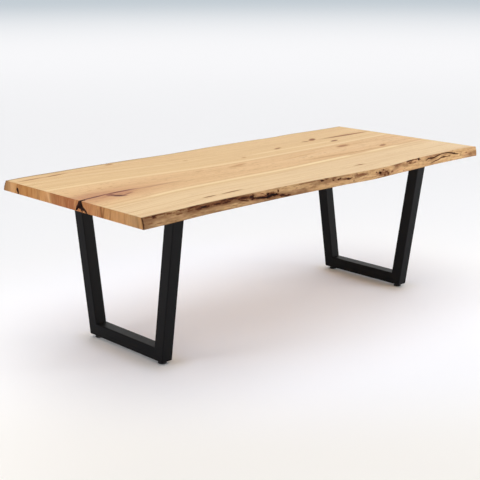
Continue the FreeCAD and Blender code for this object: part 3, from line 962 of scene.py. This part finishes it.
# Each stain: x, y, half length, half width, turn, strength.
HEART_STAINS = (
    (-1.06, -0.074, 0.11, 0.011, 9, 0.98), (-0.90, -0.058, 0.115, 0.014, 1, 0.90),
    (-0.72, -0.064, 0.18, 0.016, -1, 0.34), (-0.972, -0.084, 0.024, 0.024, 0, 0.92),
    (-0.952, -0.118, 0.044, 0.023, -36, 1.00), (-0.90, -0.112, 0.046, 0.010, 18, 0.60),
    (-1.03, -0.100, 0.085, 0.016, 4, 0.16), (-0.93, -0.085, 0.10, 0.035, 0, 0.30),
    (-1.04, -0.032, 0.13, 0.040, 2, 0.22),
)
STAINS = (
    (-0.688, -0.402, 0.050, 0.0090, 2, 0.85), (-0.555, -0.398, 0.085, 0.0085, 3, 0.80),
    (-0.14, 0.015, 0.075, 0.018, 8, 0.38), (-0.10, 0.028, 0.045, 0.012, 8, 0.28),
    (-0.36, 0.040, 0.045, 0.012, 8, 0.20), (-0.985, 0.050, 0.020, 0.008, 14, 0.26),
    (-0.930, 0.056, 0.022, 0.009, 14, 0.34), (-0.868, 0.052, 0.018, 0.008, 14, 0.28),
    (-0.720, 0.036, 0.022, 0.009, 14, 0.14), (0.673, 0.275, 0.048, 0.020, 32, 1.00),
    (0.655, 0.262, 0.022, 0.014, 0, 0.50), (0.600, 0.257, 0.036, 0.013, 0, 0.55),
    (0.92, 0.247, 0.22, 0.017, -1, 0.84), (0.86, 0.243, 0.030, 0.012, 0, 0.30),
    (1.02, 0.243, 0.060, 0.012, 0, 0.30), (0.735, 0.168, 0.040, 0.016, 16, 0.92),
    (0.340, 0.212, 0.040, 0.014, 20, 0.60), (0.034, 0.148, 0.024, 0.012, 20, 0.42),
    (0.645, 0.025, 0.066, 0.025, 8, 0.60), (0.75, 0.028, 0.090, 0.011, 2, 0.25),
    (0.815, -0.108, 0.044, 0.017, 18, 0.66), (0.312, -0.383, 0.022, 0.010, 0, 1.00),
    (0.305, -0.383, 0.055, 0.007, 0, 0.55), (0.40, -0.128, 0.24, 0.020, -3, 0.32),
    (0.66, -0.142, 0.20, 0.012, 0, 0.26), (0.26, -0.022, 0.20, 0.010, 6, 0.22),
    (-1.04, 0.428, 0.095, 0.010, 4, 0.56), (-0.90, 0.434, 0.085, 0.011, 6, 0.62),
    (-0.567, 0.470, 0.034, 0.014, 8, 0.55), (-0.232, 0.292, 0.022, 0.009, 14, 0.30),
)
# Each group: its stains, their halo and their core.
STAIN_GROUPS = (
    (HEART_STAINS, tone(176, 110, 78), tone(70, 30, 24)),
    (STAINS, tone(188, 120, 58), tone(110, 52, 22)),
)

through = 0.4 + 0.6 * fade(height, -0.020, 0.016)


def stain(cx, cy, half_x, half_y, turn):
    """A soft-edged ellipse on the top, its rim broken by the grain."""
    c, s = math.cos(math.radians(turn)), math.sin(math.radians(turn))
    dx, dy = x - cx, y + wander * 0.2 - cy
    u = (dx * c + dy * s) / half_x
    v = (dy * c - dx * s) / half_y
    return fade(distance(u, v) + (streak - 0.5) * 0.9, 1.15, 0.35) * through


for rows, halo, core in STAIN_GROUPS:
    for *ellipse, strength in rows:
        spot = stain(*ellipse)
        wood = mix(spot * min(1.0, STAIN_HALO * strength), wood, halo)
        if strength > STAIN_CORE:
            wood = mix(spot * spot * (strength - STAIN_CORE_LESS), wood, core)
print("stains", len(HEART_STAINS) + len(STAINS))

# %% [markdown]
# At both ends the saw has cut across the fibres. Such a face drinks more oil and turns darker. The
# rings are the same solid pattern, seen from the end, with bands that follow the picture.

# %% End grain
AT_END = 0.0022
RAY = (104, 60, 24)
# Each band of the left end: y at mid height, lean, half width, strength, colour.
END_BANDS = (
    (-0.236, 0.10, 0.0040, 0.75, RAY), (-0.250, -0.25, 0.0030, 0.60, RAY),
    (-0.298, -0.25, 0.0030, 0.50, RAY), (-0.474, 0.15, 0.0050, 0.60, RAY),
    (-0.507, 0.25, 0.0045, 0.95, RAY), (0.232, 0.0, 0.0050, 0.35, RAY),
    (-0.160, -0.5, 0.0060, 0.50, RAY), (0.020, 0.1, 0.0040, 0.30, RAY),
    (0.146, 0.4, 0.009, 0.55, (236, 192, 138)), (0.45, 0, 0.030, 0.55, (202, 158, 112)),
    (0.33, 0, 0.050, 0.50, (164, 108, 52)), (0.18, 0, 0.020, 0.40, (206, 154, 100)),
    (0.10, 0, 0.025, 0.55, (144, 90, 52)), (-0.17, 0, 0.025, 0.55, (190, 134, 88)),
    (-0.35, 0, 0.040, 0.45, (204, 154, 104)), (-0.45, 0, 0.030, 0.55, (186, 150, 108)),
)

end_face = fade(x.maths("ABSOLUTE"), HALF - AT_END, HALF - 0.25 * AT_END)
end_band = speckle(ring_place, (0.3, 34, 7), 2, 0.5)
end_line = speckle(ring_place, (0.3, 150, 14), 3, 0.6)
pores = speckle(wood_place, (10, 900, 700), 2)
end_wood = layered(mix(heartwood, tone(184, 132, 82), tone(172, 113, 72)), (
    (fade(end_band, 0.48, 0.72) * 0.55, (150, 96, 52)),
    (fade(end_band, 0.50, 0.30) * 0.50, (204, 156, 102)),
    (line_at(from_heart - 0.08, 0.035) * 0.55, (158, 92, 60)),
    (fade(end_line, 0.50, 0.70) * 0.62, (126, 78, 42)),
    (fade(end_line, 0.46, 0.28) * 0.46, (208, 162, 108)),
    (fade(pores, 0.55, 0.75) * 0.30, (136, 84, 42)),
))
at_left = fade(x, 0.1, -0.1)
for band_y, lean, half_width, strength, colour in END_BANDS:
    share = line_at(y - band_y - height * lean, half_width) * at_left * strength
    end_wood = mix(share, end_wood, tone(*colour))
end_rim = fade(y + (end_band - 0.5) * 0.03, 0.448, 0.478) * at_left
end_corner = fade(y + 0.5 * height, 0.488, 0.506) * at_left
end_wood = layered(end_wood, (
    (end_rim * 0.72, (146, 106, 66)),
    (end_corner * 0.70, (96, 74, 50)),
    # Painted light correction: the right end, strongly lit from the right, is toned paler and less orange
    # than the left end.
    ((1 - at_left) * 0.35, (188, 146, 102)),
))
wood = mix(end_face, wood, end_wood)
print("end grain with", len(END_BANDS), "bands")

# %% [markdown]
# The live edge is the skin under the bark: tan, mottled, browner in places and almost black in the
# hollows. The black is partly dark bark and partly painted shade deep in the hollows and cracks,
# and part of the brown on the lower half is painted shade where the edge rolls under. The
# attributes say where, and noise breaks their outlines so that no patch looks drawn.

# %% Live edge
edge_live, edge_dark, edge_brown_and_shade, rear_rim = (
    wood_place.node("ShaderNodeAttribute", {"attribute_name": name}, None, "Fac") for name in marks
)
flow = speckle(wood_place, (9, 40, 120), 4, 0.6)
scale = speckle(wood_place, (46, 90, 220), 3, 0.6)
mottle = speckle(wood_place, (30, 60, 150), 4, 0.65)
flush = fade(speckle(wood_place, (7, 12, 40), 2), 0.50, 0.66)
browned_and_shaded = edge_brown_and_shade + (flow - 0.5) * 0.35 + (scale - 0.5) * 0.25
murk = edge_dark + (flow - 0.5) * 0.30 * fade(edge_dark, 0.05, 0.4)
edge_wood = layered(mix(fade(flow, 0.3, 0.7), tone(216, 177, 129), tone(194, 151, 103)), (
    (fade(mottle, 0.52, 0.66) * 0.60, (146, 100, 64)),
    (fade(mottle, 0.46, 0.32) * 0.60, (228, 192, 144)),
    (flush * 0.35, (198, 142, 106)),
    # Brown of the skin; on the lower half it is partly painted shade.
    (fade(browned_and_shaded, 0.10, 0.70), (138, 98, 66)),
    (fade(browned_and_shaded, 0.60, 1.10), (96, 60, 38)),
    # Painted shade in part: the darkest layers stand for dark bark and for the shade deep in hollows and
    # cracks.
    (fade(murk, 0.10, 0.50), (118, 70, 42)),
    (fade(murk, 0.36, 0.72), (74, 38, 21)),
    (fade(murk, 0.66, 0.95), (30, 14, 8)),
))
on_edge = fade(edge_live, 0.25, 0.85)
rim_broken = fade(rear_rim + (streak - 0.5) * 0.9, 0.25, 0.75)
wood = layered(wood, [(rim_broken * 0.72 * (1 - end_face), (124, 94, 66))])
wood = mix(on_edge, wood, edge_wood)
corner = fade(x, 0.0075 - HALF, 0.0030 - HALF) * on_edge * fade(y, -0.3, -0.4)
# Painted shade: the lower arris of the live edge faces down and is darkened.
lower_arris_shade = fade(height, -0.0185, -0.0235) * on_edge
wood = layered(wood, ((corner * 0.85, (72, 44, 28)), (lower_arris_shade * 0.40, (116, 84, 54))))
plug(wood, wood_shader.inputs["Base Color"])
print("wood colours", len(wood.tree.nodes), "nodes")

# %% [markdown]
# The top is oiled and not varnished, so it is almost matt. Its fibres are felt more than seen:
# a faint bump follows them, and grows stronger on the live edge.

# %% Sheen and touch of the wood
plug(0.58 + 0.12 * streak + 0.16 * on_edge + 0.10 * end_face, wood_shader.inputs["Roughness"])
wood_shader.inputs["Specular IOR Level"].default_value = 0.12
touch = fibre * (0.25 + on_edge) + streak * 0.4 + (flow + scale) * on_edge - pore * 0.5
bump(touch, 0.35, 0.0004, wood_shader)
print("wood finish", len(wood.tree.nodes), "nodes")

# %% [markdown]
# ## Frames and fixings
# The square tubes are right as CAD, so they stay and only take a finish: black powder coat with a
# faint orange-peel skin. The fixings get zinc, brass and dark steel, and the foot pads nylon.

# %% Finishes for the CAD nodes
CLOUD, PEEL = (14, 14, 14), 0.00006
# Each finish: dark and light colour, grain, roughness, metal, shine.
COATS = {
    "black_steel": ((21, 21, 22), (29, 29, 31), 900, 0.50, 0.0, 0.06),
    "zinc_steel": ((150, 152, 156), (196, 198, 200), 1500, 0.34, 1.0, 0.5),
    "brass_insert": ((176, 140, 76), (206, 172, 104), 1500, 0.36, 1.0, 0.5),
    "dark_steel": ((44, 44, 46), (66, 66, 70), 1500, 0.40, 1.0, 0.5),
    "black_nylon": ((20, 20, 21), (30, 30, 31), 700, 0.55, 0.0, 0.5),
}


def coat(name, dark, light, grain, rough, metal, shine):
    """A finish with a fine skin: colour and gloss vary a little with a small and a large noise."""
    shader, place = start_finish(name)
    skin = speckle(place, (grain, grain, grain), 2)
    cloud = speckle(place, CLOUD, 3)
    plug(mix(cloud * 0.7 + skin * 0.3, tone(*dark), tone(*light)), shader.inputs["Base Color"])
    plug(rough + (cloud - 0.5) * 0.12, shader.inputs["Roughness"])
    shader.inputs["Metallic"].default_value = metal
    shader.inputs["Specular IOR Level"].default_value = shine
    bump(skin, 0.4, PEEL, shader)


for name, settings in COATS.items():
    coat(name, *settings)
slots = {row["node"]: row["material_slot"] for row in frame["record"]["subparts"]}
for name, node in frame["nodes"].items():
    if name != PLANK:
        node.data.materials.clear()
        node.data.materials.append(finishes[slots[name]])
print("finishes", sorted(finishes))

# %% [markdown]
# ## Feet
# Each foot is a nylon pad that snaps onto a steel stud with a spanner hexagon. The pad is a turned
# shape, so its profile is drawn once and spun. The stud's thread is spun too: with a small rise at
# each step the spin climbs like a screw, and two cuts with `bisect_plane` leave flat ends.

# %% Turned pieces
ROUND_STEPS, SMALL_ROUND_STEPS = 48, 32
SPIN_MERGE = 1e-6
MIDDLE, UPRIGHT = (0, 0, 0), (0, 0, 1)


def profile_line(profile, base=0.0):
    """A shape that holds only a profile of radius and height in millimetres, and that line."""
    shape = bmesh.new()
    corners = [shape.verts.new((radius * MM, 0, (base + rise) * MM)) for radius, rise in profile]
    sides = [shape.edges.new(pair) for pair in zip(corners, corners[1:])]
    return shape, [*corners, *sides]


def turned(profile, steps=ROUND_STEPS):
    """A round piece: a profile spun about the z axis."""
    shape, line = profile_line(profile)
    bmesh.ops.spin(
        shape, geom=line, cent=MIDDLE, axis=UPRIGHT, angle=math.tau, steps=steps, use_merge=True,
    )
    bmesh.ops.remove_doubles(shape, verts=shape.verts, dist=SPIN_MERGE)
    bmesh.ops.recalc_face_normals(shape, faces=shape.faces)
    return shape


def gathered(shapes, places):
    """One mesh from several shapes, each moved to its place."""
    whole = bmesh.new()
    for shape, place in zip(shapes, places):
        bmesh.ops.translate(shape, verts=shape.verts, vec=place)
        part = as_mesh(shape, "part")
        whole.from_mesh(part)
        bpy.data.meshes.remove(part)
    return as_mesh(whole, "gathered")


# %% Foot pads
FEET = [f"{end}_{side}_foot" for end in ("left", "right") for side in ("front", "rear")]
# Radius and height: a ring to stand on, a round rim, a slope, and the socket for the stud's bead.
PAD_PROFILE = (
    (0, 0.7), (10.5, 0.7), (11.3, 0.0), (17.0, 0.0), (18.6, 0.35), (19.6, 1.3), (19.95, 2.6),
    (19.95, 3.9), (19.5, 4.6), (18.7, 5.0), (17.6, 5.3), (17.2, 5.15), (16.6, 5.2), (11.4, 7.1),
    (10.4, 7.4), (9.9, 7.8), (9.2, 8.15), (4.8, 8.15), (4.1, 7.7), (4.1, 4.6), (5.6, 4.56),
    (5.6, 2.45), (0, 2.45),
)


def base_of(low, high):
    """The middle of a box's lower face."""
    return Vector(((low.x + high.x) / 2, (low.y + high.y) / 2, low.z))


for foot in FEET:
    pad = foot + "_pad"
    pad_mesh = gathered([turned(PAD_PROFILE)], [base_of(*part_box(pad))])
    finish_piece(pad + "_moulded", pad_mesh, "black_nylon", pad, [pad], FINE_CREASE)
print("pads", len(FEET))

# %% Hexagons
CHAMFER_SLOPE = math.tan(math.radians(30))
CHAMFER_REACH_SHARE = 0.475
CHAMFER_INSET, CHAMFER_CUTS = 0.4 * MM, 7
FLAT_TURN = Matrix.Rotation(math.radians(30), 3, "Z")
LEVEL_SPARE = 1e-7


def hexagon(across_flats, low, high):
    """A hexagonal head between two heights, both faces turned to a cone as on a real nut."""
    shape = bmesh.new()
    corner = across_flats * MM / math.sqrt(3)
    bmesh.ops.create_cone(
        shape, cap_ends=True, segments=6, radius1=corner, radius2=corner, depth=(high - low) * MM,
    )
    bmesh.ops.rotate(shape, verts=shape.verts, cent=MIDDLE, matrix=FLAT_TURN)
    rims = [e for e in shape.edges if abs(e.verts[0].co.z - e.verts[1].co.z) < LEVEL_SPARE]
    bmesh.ops.subdivide_edges(shape, edges=rims, cuts=CHAMFER_CUTS)
    caps = [f for f in shape.faces if len(f.verts) > 4]
    bmesh.ops.inset_individual(shape, faces=caps, thickness=CHAMFER_INSET)
    face_reach = CHAMFER_REACH_SHARE * across_flats * MM
    inner = {v for f in caps for v in f.verts}
    for v in shape.verts:
        reach = math.hypot(v.co.x, v.co.y)
        if v in inner:
            v.co.x *= face_reach / reach
            v.co.y *= face_reach / reach
        else:
            v.co.z -= math.copysign((reach - face_reach) * CHAMFER_SLOPE, v.co.z)
    bmesh.ops.translate(shape, verts=shape.verts, vec=(0, 0, (low + high) / 2 * MM))
    bmesh.ops.recalc_face_normals(shape, faces=shape.faces)
    return shape


# %% Threaded studs
# In millimetres, measured up from the foot's base.
PITCH, THREAD_STEPS = 1.5, 24
STUD_FLATS, STUD_HEX_LOW = 15, 8.5
THREAD_LOW, THREAD_HIGH = 13.2, 47.1
THREAD_PROFILE = ((4.15, 0.0), (4.96, 0.60), (4.96, 0.90), (4.15, 1.5))
JOURNAL_PROFILE = (
    (0, 2.55), (4.9, 2.55), (5.45, 3.0), (5.45, 4.0), (4.9, 4.45), (3.98, 4.5), (3.98, 8.55), (0, 8.55),
)


def thread():
    """A screw thread: one tooth spun upwards turn by turn, then cut flat at both ends."""
    turns = math.ceil((THREAD_HIGH - THREAD_LOW) / PITCH) + 2
    shape, line = profile_line(THREAD_PROFILE, THREAD_LOW - PITCH)
    bmesh.ops.spin(
        shape, geom=line, cent=MIDDLE, axis=UPRIGHT, dvec=(0, 0, PITCH * MM / THREAD_STEPS),
        angle=math.tau * turns, steps=THREAD_STEPS * turns,
    )
    bmesh.ops.remove_doubles(shape, verts=shape.verts, dist=SPIN_MERGE)
    for height, away in ((THREAD_LOW, -1), (THREAD_HIGH, 1)):
        cut = bmesh.ops.bisect_plane(
            shape, geom=[*shape.verts, *shape.edges, *shape.faces], plane_co=(0, 0, height * MM),
            plane_no=(0, 0, away), clear_outer=True,
        )
        rim = [e for e in cut["geom_cut"] if isinstance(e, bmesh.types.BMEdge)]
        bmesh.ops.holes_fill(shape, edges=rim)
    bmesh.ops.recalc_face_normals(shape, faces=shape.faces)
    return shape


for foot in FEET:
    stud, centre = foot + "_stud", base_of(*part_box(foot + "_pad"))
    spanner = hexagon(STUD_FLATS, STUD_HEX_LOW, THREAD_LOW)
    shapes = [turned(JOURNAL_PROFILE, SMALL_ROUND_STEPS), spanner, thread()]
    stud_mesh = gathered(shapes, [centre] * len(shapes))
    finish_piece(stud + "_threaded", stud_mesh, "dark_steel", stud, [stud], FINE_CREASE)
print("studs", len(stud_mesh.polygons), "faces each")

# %% [markdown]
# ## Bolts, washers and cleats
# Six bolts hold each frame, and the CAD nodes say where: the separate solids of a node are found
# by walking over a merged copy of its mesh. Heads and washers are built again with the edges that
# real ones have. The cleats keep their CAD shape, and a bevel takes the sharpness off a copy.


# %% Where the bolts are
def loose_boxes(name):
    """The boxes of the separate solids in one CAD node."""
    copy = merged_copy(name)
    unseen, boxes = set(copy.verts), []
    while unseen:
        waiting, solid = [unseen.pop()], []
        while waiting:
            v = waiting.pop()
            solid.append(v.co.copy())
            near = {e.other_vert(v) for e in v.link_edges} & unseen
            unseen -= near
            waiting.extend(near)
        boxes.append([Vector([pick(values) for values in zip(*solid)]) for pick in (min, max)])
    copy.free()
    return sorted(boxes, key=lambda box: tuple(box[0]))


# %% Bolts and washers
# In millimetres, measured up from the lower face of a head or washer.
HEAD_FLATS, HEAD_HIGH = 13, 5.3
SHANK_PROFILE = ((0, 5.2), (4.0, 5.2), (4.0, 29.3), (3.2, 30.3), (0, 30.3))
DISH_PROFILE = (
    (4.25, 0.25), (4.6, 0.0), (11.3, 0.0), (11.85, 0.35), (11.95, 1.0), (11.85, 1.65), (11.3, 2.0),
    (4.25, 2.0), (4.25, 0.25),
)


def hex_bolt():
    """The two shapes of one bolt: its head and its shank."""
    return [hexagon(HEAD_FLATS, 0.0, HEAD_HIGH), turned(SHANK_PROFILE, SMALL_ROUND_STEPS)]


def washer():
    """The one shape of a washer."""
    return [turned(DISH_PROFILE)]


for end in FRAMES:
    for node, made, build in (("bolts", "bolts_hex", hex_bolt), ("washers", "washers_round", washer)):
        shapes, places = [], []
        for low, high in loose_boxes(end + node):
            pieces = build()
            shapes += pieces
            places += [base_of(low, high)] * len(pieces)
        mesh = gathered(shapes, places)
        finish_piece(end + made, mesh, "zinc_steel", replaces=[end + node], crease=FINE_CREASE)
        print(end + made, len(shapes), "shapes")

# %% Eased cleats
EASE = 0.8 * MM
FLAT_ANGLE, SHARP_ANGLE = math.radians(2), math.radians(60)
CLEAT_CREASE = 35

for end in FRAMES:
    eased = merged_copy(end + "cleats")
    bmesh.ops.dissolve_limit(eased, angle_limit=FLAT_ANGLE, verts=eased.verts, edges=eased.edges)
    folds = [e for e in eased.edges if len(e.link_faces) == 2]
    ease(eased, [e for e in folds if e.calc_face_angle() > SHARP_ANGLE], EASE)
    bmesh.ops.recalc_face_normals(eased, faces=eased.faces)
    mesh = as_mesh(eased, end + "cleats_eased")
    finish_piece(end + "cleats_eased", mesh, "black_steel", replaces=[end + "cleats"], crease=CLEAT_CREASE)
    print(end + "cleats_eased", len(mesh.polygons), "faces")

# %% [markdown]
# The cleats are welded to the top bar. A weld is a row of small overlapping drops, so each bead is
# a rod cut into stations, and the stations swell and shrink in turn.

# %% Weld beads
BEAD_RADIUS, DROP_LENGTH = 2.2 * MM, 2.5 * MM
BEAD_SIDES, DROP_STATIONS = 10, 4
NECK_SHARE, DROP_SHARE = 0.72, 0.28
BEAD_END_GAP = 3 * MM
BEAD_CREASE = 50


def weld_bead(start, stop):
    """A rippled bead between two points in metres."""
    shape = bmesh.new()
    run = stop - start
    bmesh.ops.create_cone(
        shape, cap_ends=True, segments=BEAD_SIDES, radius1=BEAD_RADIUS, radius2=BEAD_RADIUS,
        depth=run.length,
    )
    lengthwise = [e for e in shape.edges if abs(e.verts[0].co.z - e.verts[1].co.z) > run.length / 2]
    drops = round(run.length / DROP_LENGTH)
    bmesh.ops.subdivide_edges(
        shape, edges=lengthwise, cuts=DROP_STATIONS * drops - 1, use_grid_fill=True,
    )
    for v in shape.verts:
        turn = (v.co.z / run.length + 0.5) * drops
        swell = NECK_SHARE + DROP_SHARE * abs(math.sin(math.pi * turn))
        v.co.x *= swell
        v.co.y *= swell
    turn_to = run.to_track_quat("Z", "Y").to_matrix()
    bmesh.ops.rotate(shape, verts=shape.verts, cent=MIDDLE, matrix=turn_to)
    bmesh.ops.translate(shape, verts=shape.verts, vec=(start + stop) / 2)
    return shape


for end in FRAMES:
    bar_low, bar_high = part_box(end + "top_bar")
    beads = []
    for low, high in loose_boxes(end + "cleats"):
        against = bar_low.x if low.x < bar_low.x else bar_high.x
        upper = high.z - BEAD_END_GAP
        path = ((low.y, upper), (low.y, low.z), (high.y, low.z), (high.y, upper))
        corners = [Vector((against, *corner)) for corner in path]
        beads += [weld_bead(a, b) for a, b in zip(corners, corners[1:])]
    mesh = gathered(beads, [Vector()] * len(beads))
    finish_piece(end + "weld_beads", mesh, "black_steel", crease=BEAD_CREASE)
    print(end, len(beads), "weld beads")
